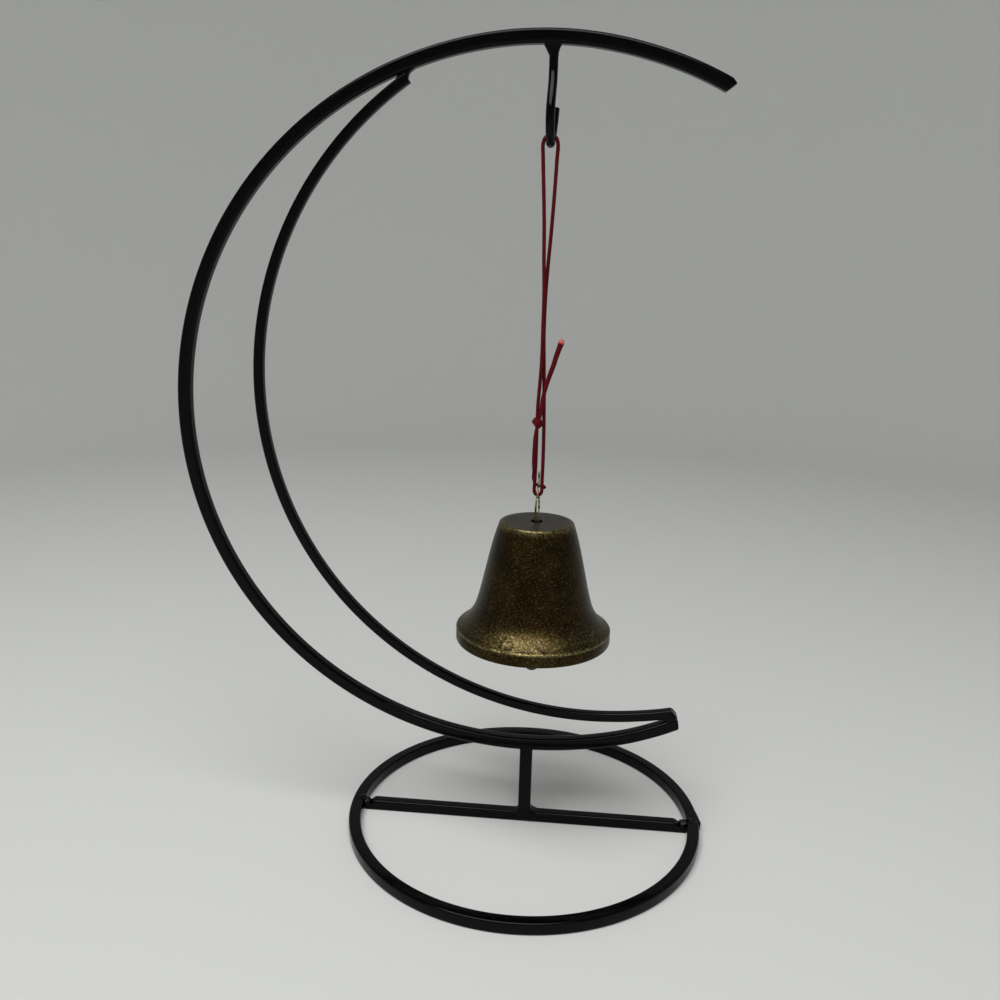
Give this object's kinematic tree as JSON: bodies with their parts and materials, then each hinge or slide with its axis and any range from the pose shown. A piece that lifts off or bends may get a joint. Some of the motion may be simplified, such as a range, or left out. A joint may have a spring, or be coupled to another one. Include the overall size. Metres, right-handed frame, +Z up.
{
  "type": "bell hung on a crescent stand",
  "caption": "Crescent table stand of welded square bar, with a small brass bell hung from its hook on a knotted red cord.",
  "frame": {"origin": "centre of the base ring, on the plane of its underside, which the stand rests on", "axes": "+Z up, +X along the crescent's plane towards its open side, +Y towards the back, away from the picture's view"},
  "size_m": [0.2135, 0.1448, 0.305],
  "materials": {
    "black_paint": "gloss black paint",
    "antique_brass": "dark antique patina with bright speckles",
    "brass_wire": "plain drawn wire",
    "red_cord": "twisted cord",
    "dark_steel": "dark grey, smooth"
  },
  "bodies": {
    "stand": {"base_ring": "black_paint", "cross_bar": "black_paint", "post": "black_paint", "outer_arc": "black_paint", "inner_arc": "black_paint", "hook": "black_paint", "weld_bar_left": "black_paint", "weld_bar_right": "black_paint", "weld_ring_butt": "black_paint", "weld_post_foot": "black_paint", "weld_post_head": "black_paint", "weld_hook": "black_paint", "weld_inner_head": "black_paint", "weld_inner_foot": "black_paint"},
    "cord": {"cord_loop": "red_cord", "cord_knot": "red_cord", "cord_tail_up": "red_cord", "cord_tail_down": "red_cord"},
    "hanger": {"hanger_wire": "brass_wire"},
    "bell": {"bell_shell": "antique_brass"},
    "clapper": {"clapper_wire": "brass_wire", "clapper_ball": "dark_steel"}
  },
  "joints": [
    {"name": "cord_swing", "type": "hinge", "parent": "stand", "child": "cord", "pos_m": [0.0012, 0, 0.2678], "axis": [0, 1, 0], "range_deg": [-60, 12]},
    {"name": "hanger_swing", "type": "hinge", "parent": "cord", "child": "hanger", "pos_m": [0.0012, 0, 0.1402], "axis": [1, 0, 0], "range_deg": [-15, 60]},
    {"name": "bell_spin", "type": "hinge", "parent": "hanger", "child": "bell", "pos_m": [0.0012, 0, 0.1283], "axis": [0, 0, 1], "continuous": true},
    {"name": "clapper_swing", "type": "hinge", "parent": "hanger", "child": "clapper", "pos_m": [0.0012, 0, 0.1232], "axis": [1, 0, 0], "range_deg": [-30, 30]}
  ]
}
